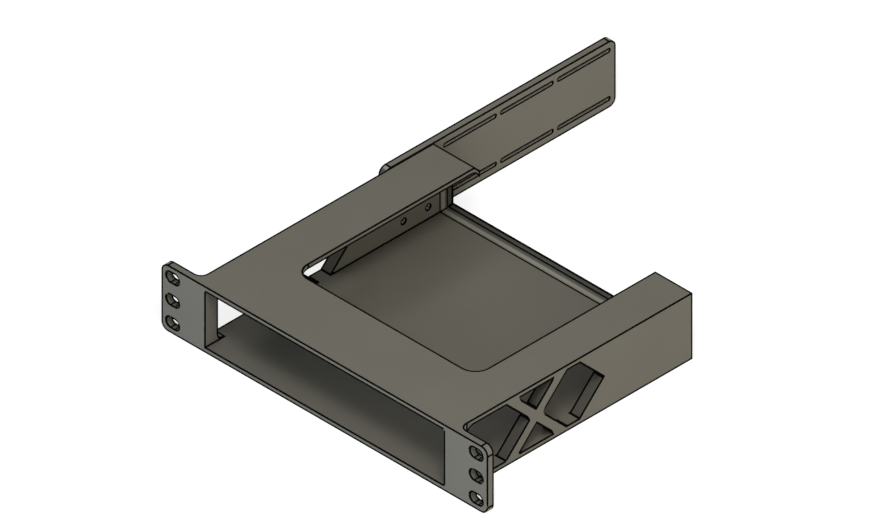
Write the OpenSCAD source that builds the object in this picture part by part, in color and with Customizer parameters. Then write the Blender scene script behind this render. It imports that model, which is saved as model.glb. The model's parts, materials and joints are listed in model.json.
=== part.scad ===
// Rack mount bracket: a one-unit tray for a box-shaped device in a 10 inch rack, with a slotted
// rail screwed to its left side wall that runs out behind the tray.
// X runs along the front panel, Y towards the back of the rack, Z up. The origin is the middle
// of the rack bolt pattern, on the back face of the ears.

/* [Front panel] */
// Width of the front panel across both ears
panel_w = 254; // [250:0.5:270]
// Height of the front panel, the tray and the rail
unit_h = 44.5; // [43.5:0.1:46]
// Thickness of the front panel
panel_t = 5; // [3:0.5:8]
// Radius of the outer corners of the ears
panel_r = 5; // [1:0.5:6]

/* [Ear slots] */
// Distance from an ear's outer edge to the middle of its slots
slot_inset = 8.75; // [7:0.05:10]
// Height from one slot of a row to the next
slot_rise = 15.2; // [13:0.1:16]
// Length of a slot from end to end
slot_len = 10; // [8:0.5:11]
// Width of a slot
slot_w = 6.6; // [4:0.1:7]

/* [Tray] */
// Width of the bay that holds the device
bay_w = 186; // [170:1:190]
// Thickness of the side walls
wall_t = 8; // [7:0.5:10]
// Thickness of the floor
floor_t = 3.5; // [2:0.1:5]
// Thickness of the roof
roof_t = 3.5; // [2:0.1:5]
// Depth from the front face to the rear end
tray_d = 189.5; // [170:0.5:230]
// Radius of the blend between the ears and the side walls
blend_r = 5; // [1:0.5:5]

/* [Roof opening] */
// Width of the roof that is left over the left wall
left_arm_w = 32.8; // [15:0.1:50]
// Width of the roof that is left over the right wall
right_arm_w = 29; // [15:0.1:50]
// Distance from the front face to the opening
roof_front = 45.7; // [20:0.1:90]
// Radius of the two front corners of the opening
roof_r = 10; // [2:0.5:20]

/* [Rear lip] */
// Size of the bevel round the outside of the rear end
rear_bevel = 3.7; // [1:0.1:4]
// Depth over which the lip rises
lip_run = 6.35; // [6:0.05:9]
// Radius of the hollow blend where the lip rises
lip_r = 5.3; // [3:0.1:5.5]
// Reach of the lip above the floor and below the roof
lip_rise = 5; // [3:0.1:6]
// Reach of the lip in from the side walls
lip_side = 4.1; // [3:0.1:6]

/* [Side cut-outs] */
// Distance from the front face to the first cut-out
window_front = 10.2; // [10.2:0.1:14]
// Distance from the front face to the middle of the crossed brace
brace_middle = 64.4; // [58:0.1:70]
// Width of each arm of the brace
brace_w = 7.3; // [4:0.1:10]
// Distance from the front face to the rear point of the last cut-out
window_back = 116.6; // [112:0.1:124]
// Radius of the front corners of the first cut-out
window_r = 5; // [1:0.5:8]

/* [Side rail] */
// Length of the rail
rail_len = 180; // [178:1:230]
// Thickness of the rail
rail_t = 5; // [4:0.5:8]
// Length of the rail that lies against the tray
rail_lap = 41.5; // [36:0.5:42]
// Radius of the corners of the rail
rail_r = 5; // [1:0.5:8]
// Slots in each row
tie_slots = 3; // [1:1:3]
// Length of a slot from end to end
tie_len = 40.4; // [20:0.1:41]
// Width of a slot
tie_w = 2; // [1:0.1:4]
// Material between two slots of a row
tie_gap = 3.9; // [2:0.1:4]
// Distance from the rail's end to the last slot
tie_margin = 4.7; // [3:0.1:5]
// Distance from the rail's upper or lower edge to the middle of a row
tie_inset = 6; // [4:0.1:7]

/* [Rail fixings] */
// Distance from the rear end of the tray to the rear pair of screws
fix_back = 15.5; // [14:0.1:18]
// Distance between the two pairs of screws along the rail
fix_pitch = 19.2; // [10:0.1:19.5]
// Height from the lower screws to the upper ones
fix_rise = 22.1; // [16:0.1:24]
// Diameter of the holes that show inside the bay
fix_d = 3.5; // [3.2:0.1:4]
// Thread diameter of a screw
screw_d = 3; // [2.5:0.1:3.2]
// Length of a screw with its countersunk head
screw_len = 10; // [9:0.5:10]
// Diameter of a screw's head
screw_head_d = 6; // [5.5:0.1:6.5]
// Width of the hexagon socket across its flats
socket_w = 2; // [1.5:0.1:2]
// Depth of the hexagon socket
socket_depth = 1.2; // [0.8:0.1:1.2]
// Space round a screw in the rail
screw_gap = 0.2; // [0.1:0.05:0.3]
// Diameter of an insert
insert_d = 4.2; // [4:0.1:4.6]
// Length of an insert
insert_len = 5; // [4:0.5:5.5]

/* [Hidden] */
$fn = 64;
over = 2;                                   // how far a cut runs past the face it opens
body_w = bay_w + 2 * wall_t;                // outside of one side wall to the other
bolt_spacing = panel_w - 2 * slot_inset;    // from the left row of slots to the right one
half_h = unit_h / 2;
front_y = -panel_t;                         // front face
back_y = front_y + tray_d;                  // rear end of the tray
bay_low = -half_h + floor_t;                // top of the floor
bay_high = half_h - roof_t;                 // underside of the roof
lip_y = back_y - lip_run;                   // where the lip starts to rise
wall_x = -body_w / 2;                       // outside of the left wall, which the rail lies on
rail_x = wall_x - rail_t;                   // outside of the rail
rail_front = back_y - rail_lap;
rail_back = rail_front + rail_len;
tie_z = half_h - tie_inset;                 // middle of the upper row of slots
tie_pitch = tie_len + tie_gap;

// Places of the rail's screws as [y, z]
FIXINGS = [for (y = [back_y - fix_back - fix_pitch, back_y - fix_back], z = [-1, 1] * fix_rise / 2) [y, z]];

// Carries a flat outline in Y and Z along X, from x0 to x1
module along_x(x0, x1) {
    translate([x0, 0, 0]) rotate([90, 0, 90]) linear_extrude(x1 - x0) children();
}

// Carries a flat outline in X and Z along Y, from y0 to y1
module along_y(y0, y1) {
    translate([0, y1, 0]) rotate([90, 0, 0]) linear_extrude(y1 - y0) children();
}

// Carries a flat outline in X and Y along Z, from z0 to z1
module along_z(z0, z1) {
    translate([0, 0, z0]) linear_extrude(z1 - z0) children();
}

// Rectangle with rounded corners, centred
module rounded(w, h, r) {
    square([w - 2 * r, h], center = true);
    square([w, h - 2 * r], center = true);
    for (x = [-1, 1], y = [-1, 1]) translate([x * (w / 2 - r), y * (h / 2 - r)]) circle(r);
}

// Slot with round ends, centred, along the first axis
module slot(len, w) {
    square([len - w, w], center = true);
    for (x = [-1, 1]) translate([x * (len - w) / 2, 0]) circle(d = w);
}

// Front panel with its ears
module front_panel() {
    along_y(front_y, 0) rounded(panel_w, unit_h, panel_r);
}

// Outline that ends in two bevelled corners: depth along the first axis, full width across it
module bevelled_end(width) {
    polygon([
        [front_y, -width / 2], [back_y - rear_bevel, -width / 2], [back_y, -width / 2 + rear_bevel],
        [back_y, width / 2 - rear_bevel], [back_y - rear_bevel, width / 2], [front_y, width / 2]
    ]);
}

// Outside of the tray, bevelled all round its rear end
module tray_block() {
    intersection() {
        along_x(-body_w / 2, body_w / 2) bevelled_end(unit_h);
        along_z(-half_h, half_h) mirror([1, -1]) bevelled_end(body_w);
    }
}

// Hollow blends between the back of the ears and the side walls
module ear_blends() {
    along_z(-half_h, half_h) for (side = [0, 1]) mirror([side, 0]) difference() {
        translate([body_w / 2, 0]) square(blend_r);
        translate([body_w / 2 + blend_r, blend_r]) circle(blend_r);
    }
}

// Where the hollow blend of the lip meets its straight slope, as [depth, height]: the tangent
// from the lip's tip to a circle of radius r that rests on the wall at the lip's start
function lip_tangent(reach) =
    let (
        tip = [lip_run, reach - lip_r],
        angle = atan2(tip[1], tip[0]) - acos(lip_r / norm(tip))
    ) [lip_r * cos(angle), lip_r + lip_r * sin(angle)];

// Section of the bay, depth along the first axis: straight sides at low and high, which close in
// by reach over the length of the lip
module bay_outline(low, high, reach) {
    meet = lip_tangent(reach);
    translate([front_y - over, low]) square([lip_y - front_y + over, high - low]);
    for (z = [low + lip_r, high - lip_r]) translate([lip_y, z]) circle(lip_r);
    polygon([
        [lip_y, low + lip_r], [lip_y + meet[0], low + meet[1]], [back_y, low + reach],
        [back_y + over, low + reach], [back_y + over, high - reach],
        [back_y, high - reach], [lip_y + meet[0], high - meet[1]], [lip_y, high - lip_r]
    ]);
}

// The bay, open at both ends, with mitred corners where the lips meet
module bay() {
    intersection() {
        along_x(-body_w / 2, body_w / 2) bay_outline(bay_low, bay_high, lip_rise);
        along_z(-half_h, half_h) mirror([1, -1]) bay_outline(-bay_w / 2, bay_w / 2, lip_side);
    }
}

// The U-shaped opening in the roof, open to the rear
module roof_opening() {
    left = -body_w / 2 + left_arm_w;
    right = body_w / 2 - right_arm_w;
    start = front_y + roof_front;
    end = back_y + over;
    along_z(0, half_h + over) {
        translate([left, start + roof_r]) square([right - left, end - start - roof_r]);
        translate([left + roof_r, start]) square([right - left - 2 * roof_r, end - start]);
        for (x = [left + roof_r, right - roof_r]) translate([x, start + roof_r]) circle(roof_r);
    }
}

// One row of cut-outs in a side wall: a long opening from the front to a rear point, less the
// two crossed arms of the brace
module side_cutouts() {
    start = front_y + window_front;
    point = front_y + window_back;
    height = bay_high - bay_low;
    difference() {
        union() {
            translate([start, bay_low + window_r])
                square([point - height / 2 - start, height - 2 * window_r]);
            translate([start + window_r, bay_low])
                square([point - height / 2 - start - window_r, height]);
            for (z = [bay_low + window_r, bay_high - window_r])
                translate([start + window_r, z]) circle(window_r);
            translate([point - height / 2, 0]) polygon([
                [0, bay_low], [height / 2, (bay_low + bay_high) / 2], [0, bay_high]
            ]);
        }
        brace();
    }
}

// The crossed brace: two arms at 45 degrees, with open triangles above and below, and the
// pointed ends of the openings in front of it and behind it
module brace() {
    translate([front_y + brace_middle, (bay_low + bay_high) / 2]) for (angle = [-45, 45])
        rotate(angle) square([2 * unit_h, brace_w], center = true);
}

// Body of the tray, printed in one piece
module tray_body() {
    color("#706d63") difference() {
        union() {
            front_panel();
            tray_block();
            ear_blends();
        }
        bay();
        roof_opening();
        along_x(-body_w / 2 - over, body_w / 2 + over) side_cutouts();
        for (x = [-1, 1], z = [-1, 0, 1]) translate([x * bolt_spacing / 2, 0, z * slot_rise])
            along_y(front_y - over, over) slot(slot_len, slot_w);
        for (p = FIXINGS) translate([wall_x, p[0], p[1]]) rotate([0, 90, 0]) {
            cylinder(d = fix_d, h = wall_t + over);
            translate([0, 0, -over]) cylinder(d = insert_d, h = insert_len + over);
        }
    }
}

// Slotted rail on the outside of the left wall
module side_rail() {
    color("#736f64") difference() {
        translate([0, (rail_front + rail_back) / 2, 0])
            along_x(rail_x, wall_x) rounded(rail_len, unit_h, rail_r);
        for (i = [0 : tie_slots - 1], side = [-1, 1])
            translate([0, rail_back - tie_margin - tie_len / 2 - i * tie_pitch, side * tie_z])
                along_x(rail_x - over, wall_x + over) slot(tie_len, tie_w);
        for (p = FIXINGS) translate([rail_x, p[0], p[1]]) rotate([0, 90, 0]) {
            translate([0, 0, -over]) cylinder(d = screw_d + 2 * screw_gap, h = rail_t + 2 * over);
            countersink();
        }
    }
}

// Cone of a countersunk head, its wide end on the outside of the rail
module countersink() {
    cylinder(d1 = screw_head_d, d2 = screw_d, h = (screw_head_d - screw_d) / 2);
}

// The four screws, flush with the outside of the rail
module rail_screws() {
    color("#3c3c3e") for (p = FIXINGS) translate([rail_x, p[0], p[1]]) rotate([0, 90, 0]) difference() {
        union() {
            countersink();
            cylinder(d = screw_d, h = screw_len);
        }
        translate([0, 0, -over]) cylinder(d = socket_w / cos(30), h = socket_depth + over, $fn = 6);
    }
}

// The four threaded inserts, pressed into the left wall from the rail's side
module rail_inserts() {
    color("#b8964f") for (p = FIXINGS) translate([wall_x, p[0], p[1]]) rotate([0, 90, 0]) difference() {
        cylinder(d = insert_d, h = insert_len);
        translate([0, 0, -over]) cylinder(d = screw_d, h = insert_len + 2 * over);
    }
}

tray_body();
side_rail();
rail_screws();
rail_inserts();
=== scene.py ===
"""Dresses the rack mount bracket: printed tray and slotted rail, countersunk screws, threaded inserts."""

import json
import math

import bmesh
import bpy
import numpy as np
from bpy.props import FloatProperty, FloatVectorProperty, IntProperty, PointerProperty
from bpy.types import Operator, Panel, PropertyGroup
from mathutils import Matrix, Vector
from mathutils.geometry import delaunay_2d_cdt, intersect_point_line

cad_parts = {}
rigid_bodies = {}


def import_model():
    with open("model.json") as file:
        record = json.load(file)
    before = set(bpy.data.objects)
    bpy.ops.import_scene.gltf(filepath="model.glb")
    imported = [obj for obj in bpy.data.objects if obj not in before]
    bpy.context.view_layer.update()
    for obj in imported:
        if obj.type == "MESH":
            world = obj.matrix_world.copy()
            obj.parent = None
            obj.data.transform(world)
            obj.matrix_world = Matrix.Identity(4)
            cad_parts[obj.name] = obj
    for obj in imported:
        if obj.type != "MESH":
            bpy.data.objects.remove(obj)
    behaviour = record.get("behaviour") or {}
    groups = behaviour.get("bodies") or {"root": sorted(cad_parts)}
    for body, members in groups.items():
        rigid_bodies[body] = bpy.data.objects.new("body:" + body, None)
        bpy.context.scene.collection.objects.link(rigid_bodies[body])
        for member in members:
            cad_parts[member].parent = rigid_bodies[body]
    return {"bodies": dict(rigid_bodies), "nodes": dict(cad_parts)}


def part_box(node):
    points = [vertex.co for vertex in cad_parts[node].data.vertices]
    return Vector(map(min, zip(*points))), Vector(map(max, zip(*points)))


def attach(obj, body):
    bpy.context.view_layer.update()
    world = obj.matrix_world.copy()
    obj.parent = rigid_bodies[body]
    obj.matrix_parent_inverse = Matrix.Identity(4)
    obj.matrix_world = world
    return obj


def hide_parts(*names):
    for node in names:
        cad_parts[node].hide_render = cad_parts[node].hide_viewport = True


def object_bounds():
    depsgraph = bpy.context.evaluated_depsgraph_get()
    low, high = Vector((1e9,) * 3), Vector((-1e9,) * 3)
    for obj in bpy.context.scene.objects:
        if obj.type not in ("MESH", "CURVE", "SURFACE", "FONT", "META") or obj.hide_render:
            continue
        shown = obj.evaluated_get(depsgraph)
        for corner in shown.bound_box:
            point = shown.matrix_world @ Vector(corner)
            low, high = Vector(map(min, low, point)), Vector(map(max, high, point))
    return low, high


bl_info = {
    "name": "Rack Mount Bracket",
    "version": (1, 0, 0),
    "blender": (4, 5, 0),
    "location": "View3D > Sidebar > Bracket",
    "description": "Finishes the printed tray and rail of a rack mount bracket, its screws and its inserts",
    "category": "Object",
}

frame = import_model()
CAD_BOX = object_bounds()
BODY = next(iter(frame["bodies"]))
MM = 0.001
# Planes through the bay and through the side cut-outs, as an axis and a place on it
OPENING_PLANES = {(0, 0.0), (1, 22 * MM), (1, 88 * MM)}
# Bends between two faces: the most within one flat, the least where a flat runs into a round, and the
# least between two facets of a round
FLAT_BEND = math.radians(0.3)
ROUND_BEND = math.radians(0.5)
FACET_BEND = math.radians(1.5)
# The most that a curve turns from one of its edges to the next
CURVE_BEND = math.radians(40)
# Cosine under which two directions count as square to each other
SQUARE = 0.02
# Distances within which corners are one: in the construction model's meshes, and in those with lines
SAME_CORNER = 0.001 * MM
SAME_DRAWN_CORNER = 0.002 * MM
# Materials of a printed part, by their place in its list
FACE, LINE, HOLE = range(3)


class BracketShape(PropertyGroup):
    """Sizes that the construction model leaves to the finish."""

    edge_width: FloatProperty(
        name="Edge width",
        description="How far the dark finish of the broadest edges reaches into each face",
        default=1.2 * MM,
        unit="LENGTH",
    )
    near_line: FloatProperty(
        name="Near line",
        description="Width of the line on an edge that shows both its faces, against the broadest",
        default=0.62,
        subtype="FACTOR",
    )
    round_line: FloatProperty(
        name="Round line",
        description="Width of the line where a flat runs into a round, against the broadest",
        default=0.55,
        subtype="FACTOR",
    )
    hole_line: FloatProperty(
        name="Hole line",
        description="Width of the line round a small hole, against that of other edges",
        default=0.85,
        subtype="FACTOR",
    )
    wide_flat: FloatProperty(
        name="Wide flat",
        description="Least width of a flat that gets a line where it runs into a round",
        default=1.2 * MM,
        unit="LENGTH",
    )
    widest_facet: FloatProperty(
        name="Widest facet",
        description="Most width of a round's facet that is shaded smoothly",
        default=3 * MM,
        unit="LENGTH",
    )
    sharp_angle: FloatProperty(
        name="Sharp angle",
        description="Least angle between two faces whose edge has a line",
        default=math.radians(25),
        subtype="ANGLE",
    )
    thread_pitch: FloatProperty(
        name="Thread pitch",
        description="Distance from one turn of the screw thread to the next",
        default=0.5 * MM,
        unit="LENGTH",
    )
    thread_depth: FloatProperty(
        name="Thread depth",
        description="Depth of the screw thread",
        default=0.3 * MM,
        unit="LENGTH",
    )
    socket_width: FloatProperty(
        name="Socket width",
        description="Width of the hexagon socket across its flats",
        default=2 * MM,
        unit="LENGTH",
    )
    socket_depth: FloatProperty(
        name="Socket depth",
        description="Depth of the hexagon socket",
        default=1.2 * MM,
        unit="LENGTH",
    )
    knurl_ribs: IntProperty(
        name="Knurl ribs",
        description="Ribs round an insert in each direction of its knurl",
        default=20,
    )
    knurl_depth: FloatProperty(
        name="Knurl depth",
        description="Depth of the grooves of an insert's knurl",
        default=0.18 * MM,
        unit="LENGTH",
    )


class BracketFinish(PropertyGroup):
    """Colours and grain of the materials."""

    tray_colour: FloatVectorProperty(
        name="Tray plastic",
        description="Colour of the printed tray",
        default=(0.134, 0.124, 0.097),
        subtype="COLOR",
    )
    rail_colour: FloatVectorProperty(
        name="Rail plastic",
        description="Colour of the printed rail",
        default=(0.152, 0.140, 0.111),
        subtype="COLOR",
    )
    edge_shade: FloatProperty(
        name="Edge shade",
        description="Lightness of the lines along the edges against the faces",
        default=0.02,
        subtype="FACTOR",
    )
    # Painted light: the walls of small holes get the plastic's colour this much lighter than the faces
    hole_painted_light: FloatProperty(
        name="Hole shade",
        description="Lightness of the walls of small holes against the faces",
        default=1.8,
    )
    screw_colour: FloatVectorProperty(
        name="Screw steel",
        description="Colour of the blackened screws",
        default=(0.035, 0.035, 0.037),
        subtype="COLOR",
    )
    insert_colour: FloatVectorProperty(
        name="Insert brass",
        description="Colour of the threaded inserts",
        default=(0.60, 0.43, 0.17),
        subtype="COLOR",
    )
    layer_height: FloatProperty(
        name="Layer height",
        description="Height of one printed layer, from the front face to the rear",
        default=0.2 * MM,
        unit="LENGTH",
    )


class BracketStage(PropertyGroup):
    """Camera, lamps and floor."""

    aim: FloatVectorProperty(
        name="Aim",
        description="Point in the middle of the picture",
        default=(-37.07 * MM, 124.86 * MM, 0),
        unit="LENGTH",
    )
    azimuth: FloatProperty(
        name="Azimuth",
        description="Turn of the camera from straight in front, towards the right ear",
        default=math.radians(45),
        subtype="ANGLE",
    )
    elevation: FloatProperty(
        name="Elevation",
        description="Angle of the camera above the horizon: that of an isometric view",
        default=math.atan(math.sqrt(0.5)),
        subtype="ANGLE",
    )
    view_width: FloatProperty(
        name="View width",
        description="Width that the picture spans at the object",
        default=488.6 * MM,
        unit="LENGTH",
    )
    ambient: FloatProperty(
        name="Ambient level",
        description="Brightness of the light that comes from all sides",
        default=0.12,
    )
    key_level: FloatProperty(
        name="Key lamp",
        description="Light that the lamp beside the camera gives a white surface turned to it",
        default=0.6,
    )
    fill_level: FloatProperty(
        name="Fill lamp",
        description="Light that the broad low lamp under the camera gives a white surface turned to it",
        default=0.87,
    )
    front_level: FloatProperty(
        name="Front lamp",
        description="Light that the front lamp gives a white surface turned to it",
        default=0.62,
    )
    side_level: FloatProperty(
        name="Side lamp",
        description="Light that the right lamp gives a white surface turned to it",
        default=0.17,
    )
    left_level: FloatProperty(
        name="Left lamp",
        description="Light that the high lamp on the left gives a white surface turned to it",
        default=0.1,
    )
    back_level: FloatProperty(
        name="Back lamp",
        description="Light that the low lamp behind the left side gives a white surface turned to it",
        default=0.5,
    )


class Signal:
    """A socket that takes part in sums: each operator adds one Math node and gives its output."""

    def __init__(self, graph, socket):
        self.graph = graph
        self.socket = socket

    def math(self, operation, *values):
        sockets = dict(enumerate(values))
        return self.graph.add("ShaderNodeMath", {"operation": operation}, sockets)["Value"]

    def __add__(self, other):
        return self.math("ADD", self, other)

    def __radd__(self, other):
        return self.math("ADD", other, self)

    def __sub__(self, other):
        return self.math("SUBTRACT", self, other)

    def __rsub__(self, other):
        return self.math("SUBTRACT", other, self)

    def __mul__(self, other):
        return self.math("MULTIPLY", self, other)

    def __rmul__(self, other):
        return self.math("MULTIPLY", other, self)

    def __pow__(self, other):
        return self.math("POWER", self, other)

    def __rpow__(self, other):
        return self.math("POWER", other, self)

    def __abs__(self):
        return self.math("ABSOLUTE", self)

    def sine(self):
        return self.math("SINE", self)

    def highest(self, other):
        return self.math("MAXIMUM", self, other)


class Outputs:
    """A node's outputs by name or number, each as a Signal."""

    def __init__(self, graph, node):
        self.graph = graph
        self.node = node

    def __getitem__(self, name):
        return Signal(self.graph, self.node.outputs[name])


class Graph:
    """Makes the nodes of one material or of the world."""

    def __init__(self, owner):
        owner.use_nodes = True
        self.tree = owner.node_tree
        self.tree.nodes.clear()

    def add(self, kind, settings=None, sockets=None):
        """One node: its type, its settings, then the values and links of its sockets."""
        node = self.tree.nodes.new(kind)
        for name, value in (settings or {}).items():
            setattr(node, name, value)
        for name, value in (sockets or {}).items():
            target = node.inputs[name]
            if isinstance(value, Signal):
                self.tree.links.new(value.socket, target)
            else:
                target.default_value = value
        return Outputs(self, node)

    def blend(self, colour, other, factor):
        """Colour that goes from one to the other with the factor."""
        settings = {"data_type": "RGBA", "clamp_factor": True}
        return self.add("ShaderNodeMix", settings, {"Factor": factor, 6: colour, 7: other})[2]

    def noise(self, place, size, detail=2.0, roughness=0.5):
        """Noise of about that size, with a mean of a half."""
        sockets = {"Vector": place, "Scale": 1 / size, "Detail": detail, "Roughness": roughness}
        return self.add("ShaderNodeTexNoise", {"normalize": True}, sockets)["Fac"]

    def ramp(self, value, low, high):
        """Goes smoothly from nought to one while the value goes from low to high."""
        sockets = {"Value": value, "From Min": low, "From Max": high}
        return self.add("ShaderNodeMapRange", {"interpolation_type": "SMOOTHSTEP"}, sockets)["Result"]

    def bump(self, height, distance, strength):
        """Normal of a surface raised by height times distance."""
        sockets = {"Height": height, "Distance": distance, "Strength": strength}
        return self.add("ShaderNodeBump", {}, sockets)["Normal"]

    def surface(self, shader):
        self.add("ShaderNodeOutputMaterial", {}, {"Surface": shader})


def with_alpha(colour, shade=1.0):
    """Colour for a socket, darkened by shade."""
    return (colour[0] * shade, colour[1] * shade, colour[2] * shade, 1)


def printed_plastic(name, colour, shade=1.0, gloss=0.06, hollow_painted_shade=0.4):
    """Satin printed plastic: layers stacked from the front face to the rear, fine grain, soft mottling.
    Its colour has painted shade in hollows, by its last argument, and a painted highlight and shade by
    slope."""
    finish = bpy.context.scene.bracket_finish
    material = bpy.data.materials.new(name)
    graph = Graph(material)
    coordinates = graph.add("ShaderNodeTexCoord")
    place = coordinates["Object"]
    depth = graph.add("ShaderNodeSeparateXYZ", {}, {0: place})["Y"]
    facing = graph.add("ShaderNodeSeparateXYZ", {}, {0: coordinates["Normal"]})["Y"]

    mottle = graph.noise(place, 38 * MM, 3.0)
    speck = graph.noise(place, 0.9 * MM)
    # Ambient occlusion for the painted shade in hollows: one in the open, and less in a hollow whose sides
    # lie within reach
    reach = 60 * MM
    openness = graph.add("ShaderNodeAmbientOcclusion", {"samples": 8}, {"Distance": reach})["AO"]
    # Nought on a face that runs along the stack of layers, and one on a face that is a layer itself
    slope = abs(facing)
    # Painted highlight on faces that turn a little towards the front or rear, and painted shade on faces
    # that turn further, short of the front and rear faces themselves
    painted_highlight = graph.ramp(slope, 0.05, 0.3) - graph.ramp(slope, 0.45, 0.62)
    painted_slope_shade = graph.ramp(slope, 0.45, 0.72) - graph.ramp(slope, 0.86, 0.97)
    grains = 0.45 + 0.07 * mottle + 0.03 * speck
    # Grain and mottling, with the painted shade in hollows and the painted highlight and shade by slope
    lightness = grains * (1 - hollow_painted_shade * (1 - openness)) * (1 + 0.6 * painted_highlight) * (1 - 0.5 * painted_slope_shade)
    dark = with_alpha(colour, 0.0)
    base = graph.blend(dark, with_alpha(colour, 2 * shade), lightness)

    wobble = graph.noise(place, 6 * MM, 1.0)
    layers = (depth * (2 * math.pi / finish.layer_height) + 5 * wobble).sine()
    grain = graph.noise(place, 0.35 * MM, 3.0, 0.6)
    height = 0.16 * layers + grain

    shader = graph.add(
        "ShaderNodeBsdfPrincipled",
        {},
        {
            "Base Color": base,
            "Roughness": 0.36 + 0.14 * mottle,
            "Normal": graph.bump(height, 0.02 * MM, 0.6),
            "Specular IOR Level": gloss,
        },
    )["BSDF"]
    graph.surface(shader)
    return material


def blackened_steel():
    """Dark oxide on steel, with turning marks round the axis and rubbed high spots."""
    finish = bpy.context.scene.bracket_finish
    material = bpy.data.materials.new("screw_steel")
    graph = Graph(material)
    place = graph.add("ShaderNodeTexCoord")["Object"]
    patches = graph.noise(place, 0.8 * MM, 3.0)
    marks = graph.noise(place, 0.12 * MM)
    colour = with_alpha(finish.screw_colour)
    rubbed = with_alpha(finish.screw_colour, 2.4)
    shader = graph.add(
        "ShaderNodeBsdfPrincipled",
        {},
        {
            "Base Color": graph.blend(colour, rubbed, patches ** 3.0),
            "Metallic": 0.85,
            "Roughness": 0.30 + 0.22 * patches,
            "Normal": graph.bump(marks, 0.01 * MM, 0.5),
        },
    )["BSDF"]
    graph.surface(shader)
    return material


def insert_brass():
    """Turned brass, a little duller in patches."""
    finish = bpy.context.scene.bracket_finish
    material = bpy.data.materials.new("insert_brass")
    graph = Graph(material)
    place = graph.add("ShaderNodeTexCoord")["Object"]
    patches = graph.noise(place, 0.7 * MM, 3.0)
    colour = with_alpha(finish.insert_colour)
    dull = with_alpha(finish.insert_colour, 0.6)
    shader = graph.add(
        "ShaderNodeBsdfPrincipled",
        {},
        {
            "Base Color": graph.blend(colour, dull, patches),
            "Metallic": 1.0,
            "Roughness": 0.25 + 0.2 * patches,
            "Normal": graph.bump(graph.noise(place, 0.1 * MM), 0.01 * MM, 0.4),
        },
    )["BSDF"]
    graph.surface(shader)
    return material


def new_piece(name, mesh, node, materials):
    """An object at the origin that stands for a node, rides on the body and holds its materials."""
    piece = bpy.data.objects.new(name, mesh)
    bpy.context.scene.collection.objects.link(piece)
    for material in materials:
        mesh.materials.append(material)
    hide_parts(node)
    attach(piece, BODY)


def is_facet(face):
    """True for a narrow facet of a round: it meets a neighbour at a slight angle."""
    sizes = bpy.context.scene.bracket_shape
    length = max(edge.calc_length() for edge in face.edges)
    bends = [FACET_BEND < edge.calc_face_angle(0) < sizes.sharp_angle for edge in face.edges]
    return any(bends) and face.calc_area() < sizes.widest_facet * length


def runs_into_round(edge):
    """True where a wide flat face meets the first narrow facet of a round."""
    across = [face.calc_area() / edge.calc_length() for face in edge.link_faces]
    conical = any(min(map(abs, face.normal)) > SQUARE for face in edge.link_faces)
    bent = edge.calc_face_angle(0) > ROUND_BEND
    wide = max(across) > max(2 * min(across), bpy.context.scene.bracket_shape.wide_flat)
    return bent and wide and not conical


def shows_one_face(edge, towards):
    """True for an outer edge with one face turned to the camera and one turned away or seen edge on."""
    facing = [face.normal.dot(towards) for face in edge.link_faces]
    return edge.is_convex and min(facing) < SQUARE < max(facing)


def runs_on(edge, other):
    """True where one edge carries on from the other along a curve."""
    joint = next(iter(set(edge.verts) & set(other.verts)))
    before = joint.co - edge.other_vert(joint).co
    after = other.other_vert(joint).co - joint.co
    return before.angle(after, 0) < CURVE_BEND


def even_out(shape, weight):
    """Lets the weight change step by step along the short edges of a curve between two longer edges: each
    round gives a short edge the mean of the edges that it runs on from."""
    longest_short = 3 * MM
    rounds = 150
    nearby = {}
    for edge in shape.edges:
        if edge[weight] > 0 and edge.calc_length() < longest_short:
            touching = [other for corner in edge.verts for other in corner.link_edges if other != edge]
            nearby[edge] = [other for other in touching if other[weight] > 0 and runs_on(edge, other)]
    for _ in range(rounds):
        for edge, others in nearby.items():
            if others:
                edge[weight] = sum(other[weight] for other in others) / len(others)


def line_outlines(points, reaches):
    """Outlines of the lines along a flat outline's sides: a strip on the inner side of each side that has
    a reach, and a kite that fills the gap between two strips where the outline turns outwards."""
    outlines = []
    count = len(points)
    along = [(points[(i + 1) % count] - points[i]).normalized() for i in range(count)]
    inward = [Vector((-step.y, step.x)) for step in along]
    for i, (point, reach) in enumerate(zip(points, reaches)):
        if reach > 0:
            after = points[(i + 1) % count]
            side = inward[i] * reach
            outlines.append([point, after, after + side, point + side])
            before = inward[i - 1]
            middle = before + inward[i]
            turns_out = along[i - 1].cross(along[i]) < -0.01
            turns_back = middle.length < 0.5
            if reaches[i - 1] > 0 and turns_out and not turns_back:
                tip = middle * (2 * min(reach, reaches[i - 1]) / middle.length_squared)
                outlines.append([point, point + side, point + tip, point + before * reaches[i - 1]])
    return outlines


def in_outlines(points, outlines):
    """For each point, whether it lies in one of the outlines, all of which turn only to the left."""
    inside = np.zeros(len(points), bool)
    for outline in outlines:
        corners = np.array(outline)
        sides = np.roll(corners, -1, axis=0) - corners
        away = points[:, None] - corners[None]
        turns = sides[:, 0] * away[..., 1] - sides[:, 1] * away[..., 0]
        inside |= (turns > 0).all(axis=1)
    return inside


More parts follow.
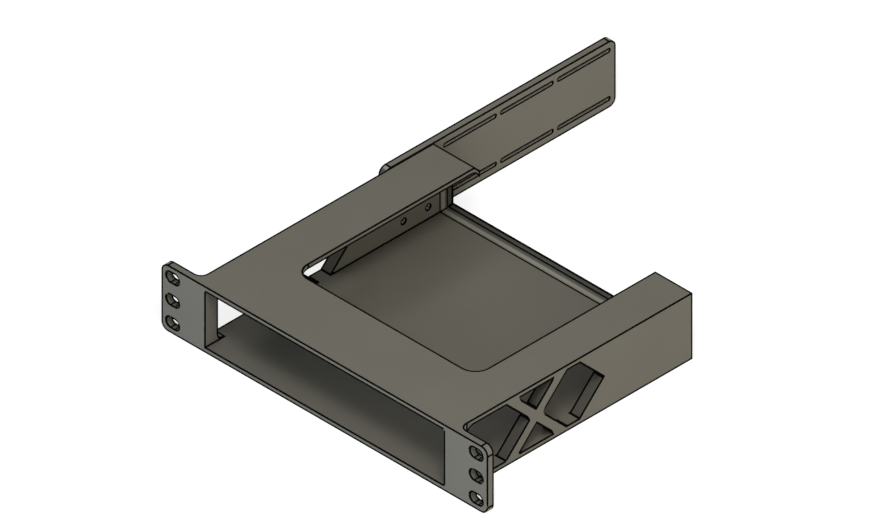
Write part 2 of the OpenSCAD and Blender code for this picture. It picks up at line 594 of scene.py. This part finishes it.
def lined_triangles(face, weight, width, stops):
    """The face as triangles that are cut along the inner sides of its lines and at the stops on its
    edges. Gives their corner points and, for each triangle, its corners and whether it lies in a line."""
    origin = face.verts[0].co
    across = (face.verts[1].co - origin).normalized()
    up = face.normal.cross(across)
    border = []
    for corner in face.loops:
        start = corner.vert.co
        border += [start, *sorted(stops[corner.edge], key=lambda place: (place - start).length)]

    def flattened(places):
        return [Vector(((place - origin).dot(across), (place - origin).dot(up))) / MM for place in places]

    reaches = [corner.edge[weight] * width / MM for corner in face.loops]
    lines = line_outlines(flattened([corner.co for corner in face.verts]), reaches)
    outlines = [flattened(border), *lines]
    points = [point for outline in outlines for point in outline]
    ends = np.cumsum([len(outline) for outline in outlines]).tolist()
    owned = [list(range(end - len(outline), end)) for end, outline in zip(ends, outlines)]
    # Only what lies inside the outlines is cut up, and points this near, in millimetres, are one
    inside, same = 1, 1e-4
    found, _, triangles, sources, _, owners = delaunay_2d_cdt(points, [], owned, inside, same, True)
    places = []
    for point, source in zip(found, sources):
        own = [k for k in source if k < len(border)]
        places.append(border[own[0]] if own else origin + (across * point.x + up * point.y) * MM)
    kept = [three for three, owner in zip(triangles, owners) if 0 in owner]
    middles = np.array(found)[np.array(kept)].mean(axis=1)
    return places, list(zip(kept, in_outlines(middles, lines).tolist()))


def line_stops(shape, weight, width):
    """For each edge, the places along it where a line of one of its faces begins or ends. Both its faces
    get a corner there, so that no gap opens between them."""
    none = {edge: [] for edge in shape.edges}
    stops = {edge: [] for edge in shape.edges}
    for face in shape.faces:
        places, triangles = lined_triangles(face, weight, width, none)
        used = {corner for three, _ in triangles for corner in three}
        for edge in face.edges:
            start, end = (corner.co for corner in edge.verts)
            for place in (places[k] for k in used):
                foot, share = intersect_point_line(place, start, end)
                on_edge = 0 < share < 1 and (place - foot).length < SAME_DRAWN_CORNER / 2
                known = [start, end, *stops[edge]]
                if on_edge and min((foot - other).length for other in known) > SAME_DRAWN_CORNER:
                    stops[edge].append(foot)
    return stops


def draw_lines(shape, weight, width):
    """A mesh of the same shape with a line of its own finish along each weighted edge of each face."""
    stops = line_stops(shape, weight, width)
    drawn = bmesh.new()
    for face in shape.faces:
        places, triangles = lined_triangles(face, weight, width, stops)
        corners = [drawn.verts.new(place) for place in places]
        for three, in_line in triangles:
            part = drawn.faces.new([corners[k] for k in three])
            part.material_index = LINE if in_line else face.material_index
            part.smooth = face.smooth
    bmesh.ops.remove_doubles(drawn, verts=drawn.verts, dist=SAME_DRAWN_CORNER)
    loose = [corner for corner in drawn.verts if not corner.link_faces]
    bmesh.ops.delete(drawn, geom=loose, context="VERTS")
    sharp = bpy.context.scene.bracket_shape.sharp_angle
    for edge in drawn.edges:
        edge.smooth = edge.calc_face_angle(0) < sharp
    return drawn


def small_hole_regions():
    """Boxes that hold the small holes, all of which run along X: the fixing holes of the left wall, and
    the slots and holes of the rail. The first box goes past both sides of the wall, and the second past
    both sides of the rail, but it stays clear of the rail's outline."""
    insert_low, insert_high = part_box("rail_inserts")
    rail_low, rail_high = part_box("side_rail")
    round_inserts, past_wall = Vector((1, 1, 1)) * MM, Vector((5, 1, 1)) * MM
    inside_outline = Vector((-1, 2, 2)) * MM
    return [
        (insert_low - round_inserts, insert_high + past_wall),
        (rail_low + inside_outline, rail_high - inside_outline),
    ]


def is_hole_wall(face, regions):
    """True for a wall of a small hole: it runs along X, well inside one of the regions."""
    places = [corner.co for corner in face.verts]
    within = any(
        all(low[k] < place[k] < high[k] for place in places for k in range(3)) for low, high in regions
    )
    return within and abs(face.normal.x) < 0.1


def small_hole_planes(shape, regions):
    """Planes across Y through the middle of each small hole, as an axis and a place on it."""
    planes = set()
    walls = {face for face in shape.faces if is_hole_wall(face, regions)}
    while walls:
        group = [walls.pop()]
        for face in group:
            near = {other for edge in face.edges for other in edge.link_faces} & walls
            walls -= near
            group += near
        places = [corner.co.y for face in group for corner in face.verts]
        planes.add((1, round((min(places) + max(places)) / 2, 5)))
    return planes


def join_flats(shape, planes):
    """Joins the triangles of each flat into one face, but cuts it along the planes, so that no face goes
    right round an opening."""
    for axis, place in planes:
        normal = Vector([float(axis == k) for k in range(3)])
        parts = [*shape.verts, *shape.edges, *shape.faces]
        cut = bmesh.ops.bisect_plane(
            shape, geom=parts, dist=SAME_CORNER, plane_co=normal * place, plane_no=normal
        )
        for part in cut["geom_cut"]:
            if isinstance(part, bmesh.types.BMEdge):
                part.seam = True
    bmesh.ops.dissolve_limit(
        shape, angle_limit=FLAT_BEND, verts=shape.verts, edges=shape.edges, delimit={"SEAM"}
    )
    left = [edge for edge in shape.edges if not edge.seam and edge.calc_face_angle(1) < FLAT_BEND]
    bmesh.ops.dissolve_edges(shape, edges=left)
    for edge in shape.edges:
        edge.seam = False


def weigh_edges(shape):
    """A layer that holds the width of each edge's line against the broadest, and nought where an edge has
    no line."""
    sizes = bpy.context.scene.bracket_shape
    stage = bpy.context.scene.bracket_stage
    towards = direction(stage.azimuth, stage.elevation)
    weight = shape.edges.layers.float.new("line_weight")
    for edge in shape.edges:
        in_hole = any(face.material_index == HOLE for face in edge.link_faces)
        share = sizes.hole_line if in_hole else 1
        if edge.calc_face_angle(0) > sizes.sharp_angle:
            edge[weight] = share if shows_one_face(edge, towards) else share * sizes.near_line
        elif not in_hole and runs_into_round(edge):
            edge[weight] = sizes.round_line
    even_out(shape, weight)
    return weight


def lined_mesh(name, node):
    """The node's shape with its triangles joined into flats, a lighter material for painted light on the
    walls of small holes, and lines drawn along its edges."""
    shape = bmesh.new()
    shape.from_mesh(frame["nodes"][node].data)
    bmesh.ops.remove_doubles(shape, verts=shape.verts, dist=SAME_CORNER)
    regions = small_hole_regions()
    join_flats(shape, sorted(small_hole_planes(shape, regions) | OPENING_PLANES))
    for face in shape.faces:
        face.smooth = is_facet(face)
        face.material_index = HOLE if is_hole_wall(face, regions) else FACE
    drawn = draw_lines(shape, weigh_edges(shape), bpy.context.scene.bracket_shape.edge_width)
    mesh = bpy.data.meshes.new(name)
    drawn.to_mesh(mesh)
    drawn.free()
    shape.free()
    return mesh


def printed_piece(name, node, colour):
    """A printed part: the node's own shape, with a dark line of finish along every sharp edge."""
    finish = bpy.context.scene.bracket_finish
    face = printed_plastic(name + "_face", colour)
    line = printed_plastic(name + "_edge", colour, finish.edge_shade, gloss=0.0)
    # Painted light on the walls of small holes: a lighter copy of the plastic, without the painted shade in
    # hollows
    hole = printed_plastic(name + "_hole", colour, finish.hole_painted_light, hollow_painted_shade=0.0)
    new_piece(name, lined_mesh(name, node), node, [face, line, hole])


def surface_of(rows, closed):
    """Points and faces of a surface from a grid of rows: each row is a ring. Where it is closed, its first
    and last rings are filled by fans round their own centre points."""
    count, around, _ = rows.shape
    points = rows.reshape(-1, 3)
    ring = np.arange(around)
    after = (ring + 1) % around
    step = np.arange(count - 1)[:, None] * around
    lower, right = step + ring, step + after
    quads = np.stack([lower, right, right + around, lower + around], axis=-1).reshape(-1, 4)
    faces = quads.tolist()
    ends = ((0, 1), (count - 1, -1)) if closed else ()
    for row, turn in ends:
        middle = np.full(around, len(points))
        points = np.vstack([points, rows[row].mean(axis=0)])
        fan = np.stack([middle, row * around + after, row * around + ring], axis=-1)
        faces += fan[:, ::turn].tolist()
    return points, faces


def along_x(radius, depth, around):
    """Rings round the X axis: radius holds one value for each ring and angle, depth one for each ring.
    A point lies at (depth, radius times cosine, radius times sine) of its angle."""
    angle = np.linspace(0, 2 * np.pi, around, endpoint=False)
    x = np.broadcast_to(np.asarray(depth)[:, None], radius.shape)
    return np.stack([x, radius * np.cos(angle), radius * np.sin(angle)], axis=-1)


def thread_wave(depth, angle, pitch):
    """From 0 at the thread's crest to 1 at its root: a triangle wave of the depth in pitches less the
    turn of the angle, made steeper round its middle and cut off at both levels."""
    steepness = 1.25
    turn = depth / pitch - angle / (2 * np.pi)
    wave = np.abs(2 * (turn - np.floor(turn)) - 1)
    return np.clip(wave * steepness - (steepness - 1) / 2, 0, 1)


def screw_surface(length, head_radius, shank_radius, sizes):
    """Countersunk screw with its head at the start: the socket's floor and six flats, the head's face and
    rim, the cone down to the shank, the helical thread and the tip. The socket's radius is half its width
    divided by the cosine of the angle from the middle of the flat."""
    around = 48
    angle = np.linspace(0, 2 * np.pi, around, endpoint=False)
    whole = np.ones(around)
    sixth = np.pi / 3
    flats = sizes.socket_width / 2 / np.cos((angle + sixth / 2) % sixth - sixth / 2)
    chamfer = 0.1 * MM
    rounding = 0.12 * MM
    rounding_depth = 0.08 * MM
    rim = 0.15 * MM
    tip_radius = 0.02 * MM
    cone_end = head_radius - shank_radius + rim
    head = [
        (whole * tip_radius, sizes.socket_depth),
        (flats, sizes.socket_depth),
        (flats, chamfer),
        (flats + chamfer, 0.0),
        (whole * (head_radius - rounding), 0.0),
        (whole * head_radius, rounding_depth),
        (whole * head_radius, rim),
        (whole * shank_radius, cone_end),
    ]
    per_turn = 8
    count = int((length - cone_end) / sizes.thread_pitch * per_turn)
    depth = np.linspace(cone_end, length, count)[1:]
    run_in = np.clip((depth - cone_end) / (2 * sizes.thread_pitch), 0, 1)
    run_out = np.clip((length - depth) / sizes.thread_pitch, 0, 1)
    wave = thread_wave(depth[:, None], angle[None, :], sizes.thread_pitch)
    cut = np.maximum(wave * run_in[:, None], 1 - run_out[:, None])
    shank = shank_radius - sizes.thread_depth * cut
    radius = np.vstack([*(ring for ring, _ in head), shank, whole * tip_radius])
    depths = np.concatenate([[place for _, place in head], depth, [length]])
    return surface_of(along_x(radius, depths, around), closed=True)


def insert_surface(length, outer_radius, inner_radius, sizes):
    """Threaded insert: a ring whose outside has two knurled bands with a plain groove between them. The
    knurl's depth is one less the product of two slanting waves, each the sine of the angle plus or less
    the depth in outer radii."""
    around = 80
    along = 41
    half_groove, collar_width = 0.09, 0.06
    groove_cut, collar_cut = 1.6, 0.5
    angle = np.linspace(0, 2 * np.pi, around, endpoint=False)[None, :]
    depth = np.linspace(0, length, along)[:, None]
    slant = depth / outer_radius
    waves = [np.abs(np.sin(sizes.knurl_ribs / 2 * turn)) for turn in (angle + slant, angle - slant)]
    share = depth / length
    groove = np.abs(share - 0.5) < half_groove
    collar = np.minimum(share, 1 - share) < collar_width
    cut = np.where(groove, groove_cut, np.where(collar, collar_cut, 1 - waves[0] * waves[1]))
    outside = outer_radius - sizes.knurl_depth * cut
    bore = np.full((2, around), inner_radius)
    radius = np.vstack([bore[:1], outside, bore[1:], bore[:1]])
    depths = np.concatenate([[0.0], depth[:, 0], [length, 0.0]])
    return surface_of(along_x(radius, depths, around), closed=False)


def group_mesh(name, surface, places):
    """One mesh that holds the surface at each place, with its doubles merged and its faces outwards."""
    points, faces = surface
    shift = len(points)
    all_points = np.vstack([points + np.array(place) for place in places])
    all_faces = [[corner + i * shift for corner in face] for i in range(len(places)) for face in faces]
    mesh = bpy.data.meshes.new(name)
    mesh.from_pydata(all_points.tolist(), [], all_faces)
    shape = bmesh.new()
    shape.from_mesh(mesh)
    same_corner = 0.0001 * MM
    bmesh.ops.remove_doubles(shape, verts=shape.verts, dist=same_corner)
    bmesh.ops.recalc_face_normals(shape, faces=shape.faces)
    for face in shape.faces:
        face.smooth = True
    sharp = math.radians(40)
    for edge in shape.edges:
        edge.smooth = edge.calc_face_angle(0) < sharp
    shape.to_mesh(mesh)
    shape.free()
    return mesh


def fixing_places(node, radius):
    """The four places of a node's like pieces, from the box round them all: each lies its own radius in
    from the box's sides, and starts at the box's low end."""
    low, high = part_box(node)
    return [
        (low.x, y, z)
        for y in (low.y + radius, high.y - radius)
        for z in (low.z + radius, high.z - radius)
    ]


class BRACKET_OT_printed_parts(Operator):
    """Make the printed tray and the slotted rail"""

    bl_idname = "bracket.printed_parts"
    bl_label = "Printed parts"

    def execute(self, context):
        finish = context.scene.bracket_finish
        printed_piece("printed_tray", "tray_body", finish.tray_colour)
        printed_piece("printed_rail", "side_rail", finish.rail_colour)
        return {"FINISHED"}


class BRACKET_OT_fixings(Operator):
    """Make the countersunk screws and the threaded inserts"""

    bl_idname = "bracket.fixings"
    bl_label = "Screws and inserts"

    def execute(self, context):
        sizes = context.scene.bracket_shape
        head_radius = 3 * MM
        shank_radius = 1.5 * MM
        low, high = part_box("rail_screws")
        screw = screw_surface(high.x - low.x, head_radius, shank_radius, sizes)
        screws = group_mesh("screws", screw, fixing_places("rail_screws", head_radius))
        new_piece("screws", screws, "rail_screws", [blackened_steel()])
        low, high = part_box("rail_inserts")
        outer_radius = 2.1 * MM
        play = 0.02 * MM
        insert = insert_surface(high.x - low.x, outer_radius, shank_radius + play, sizes)
        inserts = group_mesh("inserts", insert, fixing_places("rail_inserts", outer_radius))
        new_piece("inserts", inserts, "rail_inserts", [insert_brass()])
        return {"FINISHED"}


class BRACKET_OT_stage(Operator):
    """Set up the floor, the light and the camera"""

    bl_idname = "bracket.stage"
    bl_label = "Stage"

    def execute(self, context):
        make_floor()
        make_world()
        make_lamps()
        make_camera()
        context.scene.view_settings.view_transform = "Standard"
        return {"FINISHED"}


def seen_directly(graph):
    """One for rays that come from the camera or from a mirror or glass, nought for scattered light."""
    path = graph.add("ShaderNodeLightPath")
    return path["Is Camera Ray"].highest(path["Is Glossy Ray"]).highest(path["Is Transmission Ray"])


def make_floor():
    """A wide flat floor that is seen white and keeps a faint shadow: what is seen of it directly is a glow
    and the light on a dark grey, which add up to white."""
    reach = 6.0
    level = CAD_BOX[0].z - 0.1 * MM
    mesh = bpy.data.meshes.new("floor")
    corners = [(x * reach, y * reach, level) for x, y in ((-1, -1), (1, -1), (1, 1), (-1, 1))]
    mesh.from_pydata(corners, [], [(0, 1, 2, 3)])
    floor = bpy.data.objects.new("floor", mesh)
    bpy.context.scene.collection.objects.link(floor)
    floor.visible_shadow = False
    material = bpy.data.materials.new("floor_white")
    mesh.materials.append(material)
    graph = Graph(material)
    matt = graph.add("ShaderNodeBsdfDiffuse", {}, {"Color": (0.6, 0.6, 0.6, 1)})["BSDF"]
    shadow = graph.add("ShaderNodeBsdfDiffuse", {}, {"Color": (0.3, 0.3, 0.3, 1)})["BSDF"]
    glow = graph.add("ShaderNodeEmission", {}, {"Color": (1, 1, 1, 1), "Strength": 0.8})["Emission"]
    white = graph.add("ShaderNodeAddShader", {}, {0: glow, 1: shadow})["Shader"]
    factor = seen_directly(graph)
    graph.surface(graph.add("ShaderNodeMixShader", {}, {0: factor, 1: matt, 2: white})["Shader"])


def make_world():
    """Faint light from all sides, seen as white."""
    stage = bpy.context.scene.bracket_stage
    world = bpy.data.worlds.new("studio")
    bpy.context.scene.world = world
    graph = Graph(world)
    warm = {"Color": (1, 0.985, 0.95, 1), "Strength": stage.ambient}
    light = graph.add("ShaderNodeBackground", {}, warm)["Background"]
    white = graph.add("ShaderNodeBackground", {}, {"Color": (1, 1, 1, 1), "Strength": 1})["Background"]
    factor = seen_directly(graph)
    mixed = graph.add("ShaderNodeMixShader", {}, {0: factor, 1: light, 2: white})["Shader"]
    graph.add("ShaderNodeOutputWorld", {}, {"Surface": mixed})


def direction(azimuth, elevation):
    """Unit vector towards a camera or lamp: azimuth 0 is in front, 90 degrees on the right."""
    flat = math.cos(elevation)
    return Vector((math.sin(azimuth) * flat, -math.cos(azimuth) * flat, math.sin(elevation)))


def make_lamp(name, azimuth, elevation, level, size, colour):
    """A square soft lamp, placed by its angles in degrees. It gives a white surface turned to it the level
    that is named, because its power is that level times the squares of pi and of its distance."""
    distance = 2.2
    centre = (CAD_BOX[0] + CAD_BOX[1]) / 2
    towards = direction(math.radians(azimuth), math.radians(elevation))
    data = bpy.data.lights.new(name, "AREA")
    data.shape = "SQUARE"
    data.size = size
    data.energy = level * math.pi ** 2 * distance ** 2
    data.color = colour
    lamp = bpy.data.objects.new(name, data)
    bpy.context.scene.collection.objects.link(lamp)
    lamp.location = centre + towards * distance
    lamp.rotation_mode = "QUATERNION"
    lamp.rotation_quaternion = (-towards).to_track_quat("-Z", "Y")


def make_lamps():
    """A key lamp well above the camera, a broad one below it, softer ones in front and on both sides, and
    one low down behind for the faces that the others miss. The floor casts no shadow, so it gets through."""
    stage = bpy.context.scene.bracket_stage
    make_lamp("key_lamp", 45, 57, stage.key_level, 0.7, (0.97, 0.98, 1.0))
    make_lamp("fill_lamp", 45, 15, stage.fill_level, 2.5, (1, 0.98, 1.0))
    make_lamp("front_lamp", 0, 10, stage.front_level, 2.0, (0.46, 0.68, 1.0))
    make_lamp("side_lamp", 90, 20, stage.side_level, 0.6, (1, 0.97, 0.85))
    make_lamp("left_lamp", -83, 55, stage.left_level, 0.5, (0.96, 0.98, 1.0))
    make_lamp("back_lamp", 225, -16, stage.back_level, 1.0, (1, 0.98, 0.96))


def make_camera():
    """The camera of an isometric view, from the front right and above."""
    stage = bpy.context.scene.bracket_stage
    distance = 1.0
    towards = direction(stage.azimuth, stage.elevation)
    data = bpy.data.cameras.new("camera")
    data.type = "ORTHO"
    data.ortho_scale = stage.view_width
    camera = bpy.data.objects.new("camera", data)
    bpy.context.scene.collection.objects.link(camera)
    camera.location = Vector(stage.aim) + towards * distance
    camera.rotation_mode = "QUATERNION"
    camera.rotation_quaternion = (-towards).to_track_quat("-Z", "Y")
    bpy.context.scene.camera = camera


class BRACKET_PT_panel(Panel):
    """Lists the steps and the values that they use"""

    bl_label = "Bracket"
    bl_idname = "BRACKET_PT_panel"
    bl_space_type = "VIEW_3D"
    bl_region_type = "UI"
    bl_category = "Bracket"

    def draw(self, context):
        for step in STEPS:
            self.layout.operator(step.bl_idname)
        for group in GROUPS:
            values = getattr(context.scene, group)
            box = self.layout.box()
            for name in values.__annotations__:
                box.prop(values, name)


GROUPS = {"bracket_shape": BracketShape, "bracket_finish": BracketFinish, "bracket_stage": BracketStage}
STEPS = (BRACKET_OT_printed_parts, BRACKET_OT_fixings, BRACKET_OT_stage)


def register():
    for name, group in GROUPS.items():
        bpy.utils.register_class(group)
        setattr(bpy.types.Scene, name, PointerProperty(type=group))
    for kind in (*STEPS, BRACKET_PT_panel):
        bpy.utils.register_class(kind)


def unregister():
    for kind in (BRACKET_PT_panel, *reversed(STEPS)):
        bpy.utils.unregister_class(kind)
    for name, group in GROUPS.items():
        delattr(bpy.types.Scene, name)
        bpy.utils.unregister_class(group)


def main():
    register()
    bpy.ops.bracket.printed_parts()
    bpy.ops.bracket.fixings()
    bpy.ops.bracket.stage()


if __name__ == "__main__":
    main()
